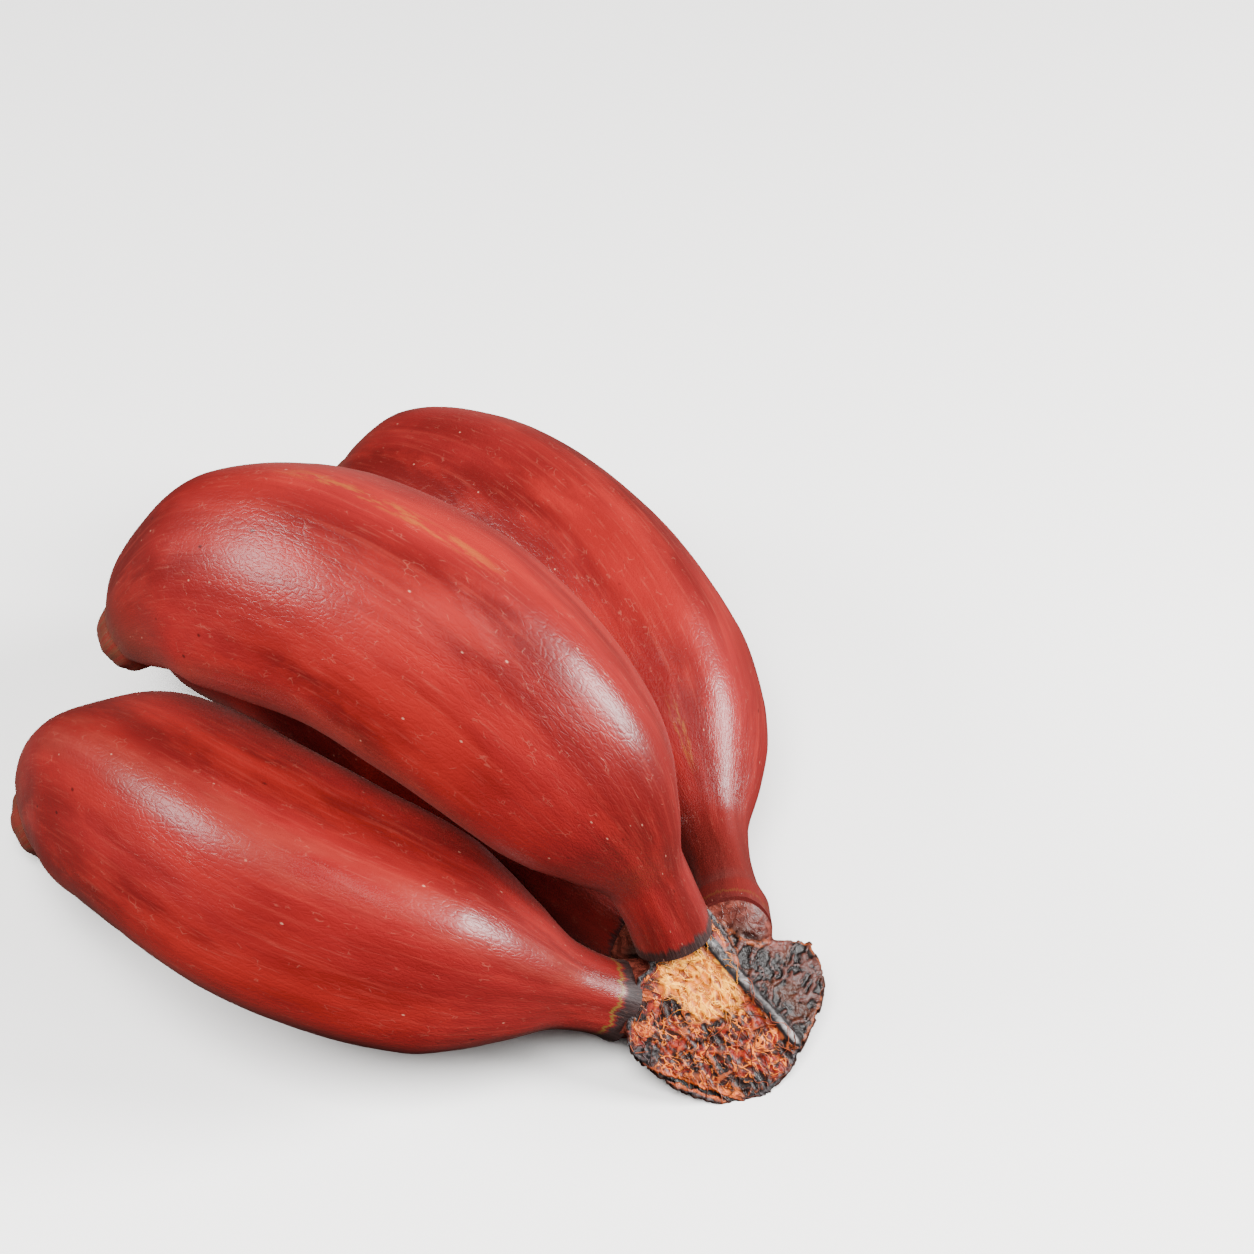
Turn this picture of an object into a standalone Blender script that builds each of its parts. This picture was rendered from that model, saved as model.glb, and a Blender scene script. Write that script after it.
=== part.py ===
# A hand of red bananas, cut from its bunch and lying belly down on a flat surface.
# Four fruits grow from one cut crown. The box round the whole hand stands on the origin.
import math

import bmesh
import bpy
from mathutils import Vector

# ---------------------------------------------------------------- driving dimensions, in metres
TOUCH_GAP = 0.0003          # clear space between two pieces that meet
SIDES = 24                  # points round a section
SECTIONS = 40               # sections along a banana, from the foot of its neck to its last full girth
SPINE_STEPS = 240           # small steps in which a banana's curve is laid out

# Each banana: root is the middle of its neck in the crown, heading and rise the way it leaves
# it (degrees), and droop and sway its bends downwards and sideways, in radians over the whole
# length, at the three BEND_PLACES. foot is the share of the length where its skin begins, girth
# its radius at each of GIRTH_PLACES, from the flare of the neck to the last full section, and
# ridges are the corners of its section, as (degrees round it, height of the corner).
BEND_PLACES = (0.16, 0.51, 1.0)
GIRTH_PLACES = (0.0, 0.04, 0.08, 0.13, 0.20, 0.25, 0.30, 0.40, 0.52, 0.66, 0.79, 0.89, 0.955, 1.0)
BANANAS = {
    "banana_front": {
        "root": (0.0420, -0.0593, 0.0058), "heading": 200.8, "rise": 36.8, "foot": 0.066,
        "length": 0.1358, "droop": (0.86, 0.62, 3.13), "sway": (-1.41, -2.87, 2.35),
        "girth": (0.0090, 0.0077, 0.0066, 0.0074, 0.0120, 0.0156, 0.0184,
                  0.0205, 0.0214, 0.0208, 0.0196, 0.0158, 0.0120, 0.0080),
        "ridges": ((136, 1.6), (62, 0.9), (-12, 0.7), (-85, 0.8), (-148, 0.8)),
    },
    "banana_top": {
        "root": (0.0462, -0.0553, 0.016), "heading": 200.6, "rise": 78.4, "foot": 0.045,
        "length": 0.1393, "droop": (1.13, 1.59, 2.42), "sway": (-1.75, -2.29, -0.45),
        "girth": (0.0082, 0.007, 0.0069, 0.0071, 0.0115, 0.0152, 0.0175,
                  0.0198, 0.0211, 0.0211, 0.0193, 0.0143, 0.0107, 0.0068),
        "ridges": ((27, 1.4), (132, 0.9), (-155, 0.8), (-66, 0.8)),
    },
    "banana_inner": {
        "root": (0.0430, -0.0470, 0.0092), "heading": 140.4, "rise": 6.7, "foot": 0.035,
        "length": 0.1334, "droop": (-1.07, 2.01, 1.43), "sway": (-0.36, 0.45, -2.16),
        "girth": (0.0070, 0.0076, 0.0087, 0.0100, 0.0122, 0.0143, 0.0162,
                  0.0181, 0.018, 0.0175, 0.0161, 0.0126, 0.0091, 0.0065),
        "ridges": ((150, 0.9), (78, 0.8), (2, 0.8), (-70, 0.8), (-142, 0.8)),
    },
    "banana_back": {
        "root": (0.0549, -0.0450, 0.015), "heading": 93.3, "rise": -10.5, "foot": -0.03,
        "length": 0.1454, "droop": (-1.64, 1.17, 1.58), "sway": (1.11, 0.86, 0.33),
        "girth": (0.0069, 0.0057, 0.0055, 0.0064, 0.0116, 0.0155, 0.018,
                  0.0206, 0.021, 0.0207, 0.0187, 0.0159, 0.0117, 0.0076),
        "ridges": ((-160, 1.0), (-88, 0.7), (-20, 0.8), (54, 0.7), (126, 0.8)),
    },
}

RESTING = ("banana_front", "banana_back")  # the two that touch the surface, as the crown does

# The blossom end: how far past the last full section (metres), and the share of its radius.
# It closes in to a raised corky ring with a sunk middle and a small nub in it.
BLOSSOM_END = ((0.0016, 0.97), (0.0032, 0.89), (0.0044, 0.79), (0.0049, 0.68),
               (0.0040, 0.54), (0.0039, 0.30), (0.0050, 0.24), (0.0054, 0.10))
RING_START = 3              # the steps of BLOSSOM_END from here on are round, with no ridges

RIDGE_HEIGHT = 0.085        # how far a corner of height 1 stands out, as a share of the radius
RIDGE_SHARPNESS = 9.0       # larger is narrower
RIDGE_LEVEL = 0.135         # a corner's mean height round the section, taken off to keep the girth
RIDGE_FADE = ((0.0, 0.5), (0.16, 1.0), (0.30, 1.15), (0.55, 0.8), (0.85, 1.1), (1.0, 0.9))

# The corners of the crown's cushion of stalk, which is the plain hull over them: the rim of the
# cut face, the flank beside it, the back beneath the necks, and the underside. The knife, the
# older break and the surface trim it.
CROWN_CORNERS = (
    (0.0590, -0.0747, 0.0004), (0.0527, -0.0757, 0.0006), (0.0464, -0.0750, 0.0031),
    (0.0398, -0.0727, 0.0074), (0.0375, -0.0718, 0.0098), (0.0367, -0.0673, 0.0138),
    (0.0388, -0.0632, 0.0174), (0.0431, -0.0617, 0.0176), (0.0497, -0.0566, 0.0209),
    (0.0661, -0.0675, 0.0060), (0.0645, -0.0703, 0.0028), (0.0609, -0.0736, 0.0006),
    (0.0695, -0.0595, 0.0048), (0.0710, -0.0540, 0.0072), (0.0710, -0.0505, 0.0035),
    (0.0688, -0.0475, 0.0100), (0.0662, -0.0499, 0.0120), (0.0636, -0.0511, 0.0152),
    (0.0522, -0.0523, 0.0098), (0.0413, -0.0540, 0.0115), (0.0413, -0.0540, 0.0020),
    (0.0497, -0.0479, 0.0030), (0.0682, -0.0447, 0.0038), (0.0597, -0.0454, 0.0027),
    (0.0607, -0.0718, -0.0006), (0.0662, -0.0630, -0.0006), (0.0703, -0.0530, -0.0006),
    (0.0527, -0.0737, -0.0006), (0.0467, -0.0706, -0.0006), (0.0417, -0.0660, -0.0006),
    (0.0422, -0.0540, -0.0006), (0.0497, -0.0457, -0.0006), (0.0677, -0.0447, -0.0006),
)
CROWN_HEART = (0.0547, -0.0580, 0.0095)   # where the stubs of the four necks meet
CROWDED = ("banana_front", "banana_inner", "banana_back")   # the necks that the crown has to make room for
CLEARANCE_END = 0.12        # up to which share of a banana's length it does
CLEARANCE_STEPS = 8
CLEARANCE_START = 0.00025   # how far behind the foot of the neck that room begins
CLEARANCE_ROUND = 0.0004    # how far it stands off the neck
STUB_RINGS = ((0.22, 0.99), (0.50, 0.88), (0.85, 0.55))     # share of the way there, share of girth
KNIFE_POINT = (0.0590, -0.0736, 0.0)      # a point of the cut face
KNIFE_NORMAL = (0.20, -0.69, 0.69)        # the way the cut face looks
BREAK_POINT = (0.0661, -0.0660, 0.0055)   # a point of the older, dried break beside it
BREAK_NORMAL = (0.515, -0.323, 0.794)


# ---------------------------------------------------------------- shapes
def smoothThrough(knots, place):
    """Value at place of a smooth curve through the knots that never overshoots them."""
    xs = [k[0] for k in knots]
    ys = [k[1] for k in knots]
    if place <= xs[0]:
        return ys[0]
    if place >= xs[-1]:
        return ys[-1]
    slopes = [(ys[i + 1] - ys[i]) / (xs[i + 1] - xs[i]) for i in range(len(xs) - 1)]
    tangents = [slopes[0]]
    for before, after in zip(slopes, slopes[1:]):
        same_way = before * after > 0.0
        tangents.append(2.0 * before * after / (before + after) if same_way else 0.0)
    tangents.append(slopes[-1])
    i = max(k for k in range(len(xs) - 1) if xs[k] <= place)
    width = xs[i + 1] - xs[i]
    u = (place - xs[i]) / width
    start = (1.0 + 2.0 * u) * (1.0 - u) ** 2 * ys[i] + u * (1.0 - u) ** 2 * width * tangents[i]
    end = u * u * (3.0 - 2.0 * u) * ys[i + 1] + u * u * (u - 1.0) * width * tangents[i + 1]
    return start + end


def bendAt(bends, place):
    """A bend at a place along the banana, level before the first of BEND_PLACES."""
    if place <= BEND_PLACES[0]:
        return bends[0]
    for i in range(len(BEND_PLACES) - 1):
        if place <= BEND_PLACES[i + 1]:
            share = (place - BEND_PLACES[i]) / (BEND_PLACES[i + 1] - BEND_PLACES[i])
            return bends[i] + share * (bends[i + 1] - bends[i])
    return bends[-1]


def spineFrames(banana):
    """Frames along the curve: a point, the way along, the way of the droop and that of the sway."""
    heading = math.radians(banana["heading"])
    rise = math.radians(banana["rise"])
    flat = math.cos(rise)
    along = Vector((flat * math.cos(heading), flat * math.sin(heading), math.sin(rise)))
    down = Vector((0.0, 0.0, -1.0))
    down = (down - down.dot(along) * along).normalized()
    point = Vector(banana["root"])
    step = banana["length"] / SPINE_STEPS
    frames = [(point.copy(), along.copy(), down.copy(), along.cross(down))]
    for i in range(SPINE_STEPS):
        place = (i + 0.5) / SPINE_STEPS
        droop = bendAt(banana["droop"], place) / banana["length"]
        sway = bendAt(banana["sway"], place) / banana["length"]
        turned = (along + step * (droop * down + sway * along.cross(down))).normalized()
        point = point + step * 0.5 * (along + turned)
        along = turned
        down = (down - down.dot(along) * along).normalized()
        frames.append((point.copy(), along.copy(), down.copy(), along.cross(down)))
    return frames


def frameAt(banana, frames, place):
    """The frame at a share of the length. Past either end the curve runs on straight."""
    if place <= 0.0:
        point, along, down, side = frames[0]
        return point + along * (place * banana["length"]), along, down, side
    index = min(place, 1.0) * SPINE_STEPS
    low = min(int(index), SPINE_STEPS - 1)
    first = frames[low]
    second = frames[low + 1]
    mixed = [a.lerp(b, index - low) for a, b in zip(first, second)]
    point, along, down, side = mixed
    if place > 1.0:
        point = point + along * ((place - 1.0) * banana["length"])
    return point, along.normalized(), down.normalized(), side.normalized()


def girthAt(banana, place):
    return smoothThrough(tuple(zip(GIRTH_PLACES, banana["girth"])), place)


def ridgeShape(banana, angle):
    """How far the section stands out of its circle at an angle, between -1 and 1."""
    total = 0.0
    for degrees, height in banana["ridges"]:
        corner = math.exp(RIDGE_SHARPNESS * (math.cos(angle - math.radians(degrees)) - 1.0))
        total += height * (corner - RIDGE_LEVEL)
    return total


def sectionPoints(banana, frame, radius, ridged):
    point, along, down, side = frame
    ring = []
    for i in range(SIDES):
        angle = 2.0 * math.pi * i / SIDES
        reach = radius * (1.0 + ridged * RIDGE_HEIGHT * ridgeShape(banana, angle))
        ring.append(point + reach * (math.cos(angle) * down + math.sin(angle) * side))
    return ring


def ridgeStrength(place):
    """The corners show most beside the neck and the blossom end, and least at full girth."""
    return smoothThrough(RIDGE_FADE, place)


def loftRings(name, rings):
    """A closed body through rings of equal length, with a flat face at each end."""
    mesh = bpy.data.meshes.new(name)
    bm = bmesh.new()
    loops = [[bm.verts.new(point) for point in ring] for ring in rings]
    count = len(loops[0])
    for first, second in zip(loops, loops[1:]):
        for i in range(count):
            j = (i + 1) % count
            bm.faces.new((first[i], first[j], second[j], second[i]))
    bm.faces.new(loops[0][::-1])
    bm.faces.new(loops[-1])
    bmesh.ops.recalc_face_normals(bm, faces=bm.faces)
    bm.to_mesh(mesh)
    bm.free()
    mesh.shade_smooth()
    return bpy.data.objects.new(name, mesh)


# ---------------------------------------------------------------- materials
def makeMaterial(name, colour, roughness):
    material = bpy.data.materials.new(name)
    material.use_nodes = True
    shader = material.node_tree.nodes["Principled BSDF"]
    shader.inputs["Base Color"].default_value = (*colour, 1.0)
    shader.inputs["Roughness"].default_value = roughness
    shader.inputs["Metallic"].default_value = 0.0
    return material


# ---------------------------------------------------------------- pieces
def makeBanana(name, banana):
    """One fruit: the neck, the ridged and curved body, and the blossom end."""
    frames = spineFrames(banana)
    foot = banana["foot"]
    rings = []
    for i in range(SECTIONS + 1):
        place = foot + (1.0 - foot) * i / SECTIONS
        frame = frameAt(banana, frames, place)
        rings.append(sectionPoints(banana, frame, girthAt(banana, place), ridgeStrength(place)))
    last_girth = girthAt(banana, 1.0)
    for i, (advance, share) in enumerate(BLOSSOM_END):
        frame = frameAt(banana, frames, 1.0 + advance / banana["length"])
        ridged = max(0.0, 1.0 - (i + 1) / RING_START) * ridgeStrength(1.0)
        rings.append(sectionPoints(banana, frame, last_girth * share, ridged))
    return loftRings(name, rings)


def makeStub(name, banana):
    """The piece of the crown that a neck grows from, from just short of the neck to the heart."""
    frames = spineFrames(banana)
    point, along, down, side = frameAt(banana, frames, banana["foot"])
    girth = girthAt(banana, banana["foot"])
    ridged = ridgeStrength(banana["foot"])
    start = point - TOUCH_GAP * along
    rings = [sectionPoints(banana, (start, along, down, side), girth, ridged)]
    for way, share in STUB_RINGS:
        middle = start.lerp(Vector(CROWN_HEART), way)
        rings.append(sectionPoints(banana, (middle, along, down, side), girth * share, ridged))
    return loftRings(name, rings)


def makeClearance(name, banana, last_place, steps):
    """The room that a neck needs in the crown: its own shape, a little larger all round."""
    frames = spineFrames(banana)
    rings = []
    for i in range(steps + 1):
        place = banana["foot"] + (last_place - banana["foot"]) * i / steps
        point, along, down, side = frameAt(banana, frames, place)
        if i == 0:
            point = point - CLEARANCE_START * along
        girth = girthAt(banana, place) + CLEARANCE_ROUND
        rings.append(sectionPoints(banana, (point, along, down, side), girth, ridgeStrength(place)))
    return loftRings(name, rings)


def makeCushion(name):
    """The body of the crown, before the knife."""
    bm = bmesh.new()
    for corner in CROWN_CORNERS:
        bm.verts.new(corner)
    made = bmesh.ops.convex_hull(bm, input=bm.verts)
    inside = [item for item in made["geom_interior"] if isinstance(item, bmesh.types.BMVert)]
    bmesh.ops.delete(bm, geom=inside, context="VERTS")
    bmesh.ops.recalc_face_normals(bm, faces=bm.faces)
    mesh = bpy.data.meshes.new(name)
    bm.to_mesh(mesh)
    bm.free()
    return bpy.data.objects.new(name, mesh)


def makeBlock(name, size, location, normal):
    """A box cutter whose lower face's middle is at location, and which stands along normal."""
    bm = bmesh.new()
    bmesh.ops.create_cube(bm, size=size)
    bmesh.ops.translate(bm, verts=bm.verts, vec=(0.0, 0.0, size / 2.0))
    mesh = bpy.data.meshes.new(name)
    bm.to_mesh(mesh)
    bm.free()
    block = bpy.data.objects.new(name, mesh)
    block.location = location
    block.rotation_mode = "QUATERNION"
    block.rotation_quaternion = Vector(normal).to_track_quat("Z", "Y")
    return block


def addBoolean(target, operation, tool):
    modifier = target.modifiers.new(operation.lower() + "_" + tool.name, "BOOLEAN")
    modifier.operation = operation
    modifier.object = tool
    modifier.solver = "EXACT"


def addTool(tool, tools):
    tool.display_type = "WIRE"
    tool.hide_render = True
    tools.objects.link(tool)
    return tool


def buildHand():
    for old in list(bpy.data.objects):
        bpy.data.objects.remove(old, do_unlink=True)
    hand = bpy.data.collections.new("red_banana_hand")
    tools = bpy.data.collections.new("cutters")
    bpy.context.scene.collection.children.link(hand)
    bpy.context.scene.collection.children.link(tools)

    skin = {
        "banana_front": makeMaterial("red_skin_front", (0.42, 0.035, 0.025), 0.42),
        "banana_top": makeMaterial("red_skin_top", (0.45, 0.042, 0.027), 0.40),
        "banana_back": makeMaterial("red_skin_back", (0.38, 0.032, 0.024), 0.42),
        "banana_inner": makeMaterial("red_skin_inner", (0.32, 0.028, 0.022), 0.45),
    }
    stalk = makeMaterial("dried_stalk", (0.13, 0.045, 0.022), 0.75)

    # the surface the hand lies on takes a small flat off each piece that touches it
    surface = addTool(makeBlock("surface", 0.5, (0.0, 0.0, 0.0), (0.0, 0.0, -1.0)), tools)
    knife = addTool(makeBlock("knife", 0.08, KNIFE_POINT, KNIFE_NORMAL), tools)
    old_break = addTool(makeBlock("old_break", 0.08, BREAK_POINT, BREAK_NORMAL), tools)

    crown = makeCushion("crown")
    crown.data.materials.append(stalk)
    hand.objects.link(crown)
    addBoolean(crown, "DIFFERENCE", old_break)
    for name, dimensions in BANANAS.items():
        banana = makeBanana(name, dimensions)
        banana.data.materials.append(skin[name])
        hand.objects.link(banana)
        if name in RESTING:
            addBoolean(banana, "DIFFERENCE", surface)
        if name in CROWDED:
            room = makeClearance("room_" + name, dimensions, CLEARANCE_END, CLEARANCE_STEPS)
            addBoolean(crown, "DIFFERENCE", addTool(room, tools))
        stub = addTool(makeStub("stub_" + name, dimensions), tools)
        addBoolean(crown, "UNION", stub)
    addBoolean(crown, "DIFFERENCE", knife)
    addBoolean(crown, "DIFFERENCE", surface)


buildHand()
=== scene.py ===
import math

import bmesh
import bpy
import numpy as np
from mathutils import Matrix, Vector


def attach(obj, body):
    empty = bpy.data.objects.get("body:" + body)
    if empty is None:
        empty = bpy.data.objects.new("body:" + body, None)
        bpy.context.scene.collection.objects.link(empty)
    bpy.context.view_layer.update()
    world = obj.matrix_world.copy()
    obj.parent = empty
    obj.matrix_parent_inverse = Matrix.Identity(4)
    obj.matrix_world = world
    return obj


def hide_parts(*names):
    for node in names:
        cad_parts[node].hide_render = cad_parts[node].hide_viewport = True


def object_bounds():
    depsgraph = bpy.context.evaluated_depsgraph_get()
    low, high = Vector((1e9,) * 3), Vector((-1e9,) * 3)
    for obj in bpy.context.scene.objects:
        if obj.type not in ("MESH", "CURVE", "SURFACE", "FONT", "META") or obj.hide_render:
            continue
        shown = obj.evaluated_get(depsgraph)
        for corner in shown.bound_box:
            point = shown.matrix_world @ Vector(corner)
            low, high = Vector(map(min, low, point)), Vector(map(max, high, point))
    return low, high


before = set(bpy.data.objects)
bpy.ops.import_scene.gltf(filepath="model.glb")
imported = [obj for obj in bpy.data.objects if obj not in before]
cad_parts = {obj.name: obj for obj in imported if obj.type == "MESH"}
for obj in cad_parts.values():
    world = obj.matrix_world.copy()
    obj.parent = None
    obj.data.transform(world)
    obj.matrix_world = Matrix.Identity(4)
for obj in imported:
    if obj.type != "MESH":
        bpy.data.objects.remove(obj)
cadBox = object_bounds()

print("frame loaded:", sorted(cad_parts))


def toLinear(hexColour):
    # sRGB hex to the linear colour that a shader wants
    channels = [int(hexColour[i:i + 2], 16) / 255.0 for i in (1, 3, 5)]
    return [c / 12.92 if c <= 0.04045 else ((c + 0.055) / 1.055) ** 2.4 for c in channels] + [1.0]


def addNode(tree, kind, links=(), output=0, **settings):
    # one node: its settings, then its inputs, in order or by name, each from a value or from another
    # node's output; returns the output asked for
    node = tree.nodes.new(kind)
    for name, value in settings.items():
        setattr(node, name, value)
    for socket, value in links.items() if isinstance(links, dict) else enumerate(links):
        if isinstance(value, bpy.types.NodeSocket):
            tree.links.new(value, node.inputs[socket])
        else:
            node.inputs[socket].default_value = value
    return node.outputs[output] if len(node.outputs) else None


def reckon(tree, value, *steps):
    # works a value through steps of arithmetic, each an operation and what it takes besides
    for operation, *others in steps:
        value = addNode(tree, "ShaderNodeMath", (value, *others), operation=operation)
    return value


def where(tree, amount, *ramps):
    # an amount that is left only where patterns allow it; each is a pattern, the value where nothing
    # is left and the value where all is, with a smooth change between
    for pattern, none, full in ramps:
        amount = addNode(tree, "ShaderNodeMapRange", (pattern, none, full, 0.0, amount),
                         interpolation_type="SMOOTHSTEP")
    return amount


def tinted(tree, colour, *tints):
    # lays tints over a colour in turn, each by an amount and where its ramps allow it
    for tint, amount, *ramps in tints:
        under, over = [toLinear(c) if isinstance(c, str) else c for c in (colour, tint)]
        colour = addNode(tree, "ShaderNodeMix", {0: where(tree, amount, *ramps), 6: under, 7: over}, 2,
                         data_type="RGBA")
    return colour


def smoothThrough(knots, place):
    # a smooth curve through the knots that never overshoots them
    xs = [k[0] for k in knots]
    ys = [k[1] for k in knots]
    if place <= xs[0]:
        return ys[0]
    if place >= xs[-1]:
        return ys[-1]
    slopes = [(ys[i + 1] - ys[i]) / (xs[i + 1] - xs[i]) for i in range(len(xs) - 1)]
    tangents = [slopes[0]]
    for before, after in zip(slopes, slopes[1:]):
        sameWay = before * after > 0.0
        tangents.append(2.0 * before * after / (before + after) if sameWay else 0.0)
    tangents.append(slopes[-1])
    i = max(k for k in range(len(xs) - 1) if xs[k] <= place)
    width = xs[i + 1] - xs[i]
    u = (place - xs[i]) / width
    start = (1.0 + 2.0 * u) * (1.0 - u) ** 2 * ys[i] + u * (1.0 - u) ** 2 * width * tangents[i]
    end = u * u * (3.0 - 2.0 * u) * ys[i + 1] + u * u * (u - 1.0) * width * tangents[i + 1]
    return start + end


def addObject(name, data):
    thing = bpy.data.objects.new(name, data)
    bpy.context.scene.collection.objects.link(thing)
    return thing


def plainMesh(worker, name):
    # the evaluated result as a plain mesh object of its own; the worker is removed
    bpy.context.view_layer.update()
    evaluated = worker.evaluated_get(bpy.context.evaluated_depsgraph_get())
    mesh = bpy.data.meshes.new_from_object(evaluated)
    mesh.name = name
    bpy.data.objects.remove(worker, do_unlink=True)
    return addObject(name, mesh)


def newTree(name, sockets):
    # an empty geometry tree with its named inputs; returns the tree and what it is given
    tree = bpy.data.node_groups.new(name, "GeometryNodeTree")
    tree.interface.new_socket("Geometry", in_out="INPUT", socket_type="NodeSocketGeometry")
    for label, kind, value in sockets:
        tree.interface.new_socket(label, in_out="INPUT", socket_type=kind).default_value = value
    tree.interface.new_socket("Geometry", in_out="OUTPUT", socket_type="NodeSocketGeometry")
    return tree, tree.nodes.new("NodeGroupInput").outputs


def endTree(tree, geometry, material):
    # every tree ends in Realize Instances and Set Material
    real = addNode(tree, "GeometryNodeRealizeInstances", {"Geometry": geometry})
    dressed = addNode(tree, "GeometryNodeSetMaterial", {"Geometry": real, "Material": material})
    addNode(tree, "NodeGroupOutput", {"Geometry": dressed})


def runTree(worker, tree, values):
    # puts the tree on the worker and sets its inputs by identifier before the first evaluation
    modifier = worker.modifiers.new(tree.name, "NODES")
    modifier.node_group = tree
    for item in tree.interface.items_tree:
        if item.item_type == "SOCKET" and item.in_out == "INPUT" and item.name in values:
            modifier[item.identifier] = values[item.name]


def withinSolids(tree, point):
    # keeps a point inside the box of all the solids, a hair off its faces
    hair = 0.00003
    low = [c + hair for c in cadBox[0]]
    high = [c - hair for c in cadBox[1]]
    raised = addNode(tree, "ShaderNodeVectorMath", (point, low), operation="MAXIMUM")
    return addNode(tree, "ShaderNodeVectorMath", (raised, high), operation="MINIMUM")


# The fruits grow by the same rule as their solids: a centre line that droops and sways, and a girth
# and a cornered section along it. Places and the foot are shares of the length.
bendPlaces = (0.16, 0.51, 1.0)
girthPlaces = (0.0, 0.04, 0.08, 0.13, 0.20, 0.25, 0.30, 0.40, 0.52, 0.66, 0.79, 0.89, 0.955, 1.0)
growth = {
    "ridgeFade": ((0.0, 0.5), (0.16, 1.0), (0.30, 1.15), (0.55, 0.8), (0.85, 1.1), (1.0, 0.9)),
    # the blossom end in steps: how far past the last full section, and the share of its radius
    "blossomReach": ((0, 0.0), (1, 0.0016), (2, 0.0032), (3, 0.0044), (4, 0.0049),
                     (5, 0.0040), (6, 0.0039), (7, 0.0050), (8, 0.0054)),
    "blossomGirth": ((0, 1.0), (1, 0.97), (2, 0.89), (3, 0.79), (4, 0.68),
                     (5, 0.54), (6, 0.30), (7, 0.24), (8, 0.10)),
    "cornerSteps": 3.0,         # steps of the blossom end over which the corners fade out
    "stepShare": 0.01,          # what one such step adds to the share of the length
    "ridgeHeight": 0.085, "ridgeSharpness": 14.0,
    "ridgeLevel": 0.1076,       # mean height of a corner round the section, taken off it
    "sections": 250, "blossomSections": 48, "sides": 150, "spineSteps": 480,
    "tuckIn": 0.0012,           # how far a neck's foot runs on into the crown, so no gap shows
    "slim": 0.993,              # keeps the smooth skin inside the solids' flat-sided one
    "dentDepth": 0.00035, "dentsPerMetre": 95.0, "rimScallop": 0.10,
}

# Droop and sway are the radians turned over a whole length, at each of the bend places. Ridges are
# angles round the section with their heights. Ochre is the line of specks: its angle, the share of
# the length where it starts and ends, and its strength. The scar is the dried foot of the neck: its
# share of the length and its strength. Yellowed and dullNeck are strengths of colour too, and so is
# the warm belly's strength, set low on the inner and back fruits as painted shade.
fruits = {
    "frontBanana": {
        "node": "banana_front", "slot": "skin_front",
        "root": (0.0420, -0.0593, 0.0058), "heading": 200.8, "rise": 36.8, "foot": 0.066,
        "length": 0.1358, "droop": (0.86, 0.62, 3.13), "sway": (-1.41, -2.87, 2.35),
        "girth": (0.0090, 0.0077, 0.0066, 0.0074, 0.0120, 0.0156, 0.0184,
                  0.0205, 0.0214, 0.0208, 0.0196, 0.0158, 0.0120, 0.0080),
        "ridges": ((136, 1.6), (62, 0.9), (-12, 0.7), (-85, 0.8), (-148, 0.8)),
        "seed": 3.0, "ochre": None, "yellowed": 0.6, "dullNeck": 0.25, "scar": (0.013, 0.95),
        "warmthAndLight": 0.9,
    },
    "topBanana": {
        "node": "banana_top", "slot": "skin_top",
        "root": (0.0462, -0.0553, 0.016), "heading": 200.6, "rise": 78.4, "foot": 0.045,
        "length": 0.1393, "droop": (1.13, 1.59, 2.42), "sway": (-1.75, -2.29, -0.45),
        "girth": (0.0082, 0.007, 0.0069, 0.0071, 0.0115, 0.0152, 0.0175,
                  0.0198, 0.0211, 0.0211, 0.0193, 0.0143, 0.0107, 0.0068),
        "ridges": ((27, 1.4), (132, 0.9), (-155, 0.8), (-66, 0.8)),
        "seed": 11.0, "ochre": (138.0, 0.46, 0.72, 0.55), "yellowed": 0.0, "dullNeck": 0.2,
        "scar": (0.008, 0.92), "warmthAndLight": 1.0,
    },
    "innerBanana": {
        "node": "banana_inner", "slot": "skin_inner",
        "root": (0.0430, -0.0470, 0.0092), "heading": 140.4, "rise": 6.7, "foot": 0.035,
        "length": 0.1334, "droop": (-1.07, 2.01, 1.43), "sway": (-0.36, 0.45, -2.16),
        "girth": (0.0070, 0.0076, 0.0087, 0.0100, 0.0122, 0.0143, 0.0162,
                  0.0181, 0.018, 0.0175, 0.0161, 0.0126, 0.0091, 0.0065),
        "ridges": ((150, 0.9), (78, 0.8), (2, 0.8), (-70, 0.8), (-142, 0.8)),
        "seed": 31.0, "ochre": None, "yellowed": 0.0, "dullNeck": 0.6, "scar": (0.006, 0.8),
        "warmthAndLight": 0.5,
    },
    "backBanana": {
        "node": "banana_back", "slot": "skin_back",
        "root": (0.0549, -0.0450, 0.015), "heading": 93.3, "rise": -10.5, "foot": -0.03,
        "length": 0.1454, "droop": (-1.64, 1.17, 1.58), "sway": (1.11, 0.86, 0.33),
        "girth": (0.0069, 0.0057, 0.0055, 0.0064, 0.0116, 0.0155, 0.018,
                  0.0206, 0.021, 0.0207, 0.0187, 0.0159, 0.0117, 0.0076),
        "ridges": ((-160, 1.0), (-88, 0.7), (-20, 0.8), (54, 0.7), (126, 0.8)),
        "seed": 23.0, "ochre": (170.0, 0.17, 0.30, 0.8), "yellowed": 0.15, "dullNeck": 0.7,
        "scar": (0.002, 0.25), "warmthAndLight": 0.6,
    },
}


def bendAt(bends, place):
    return float(np.interp(place, bendPlaces, bends))


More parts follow.
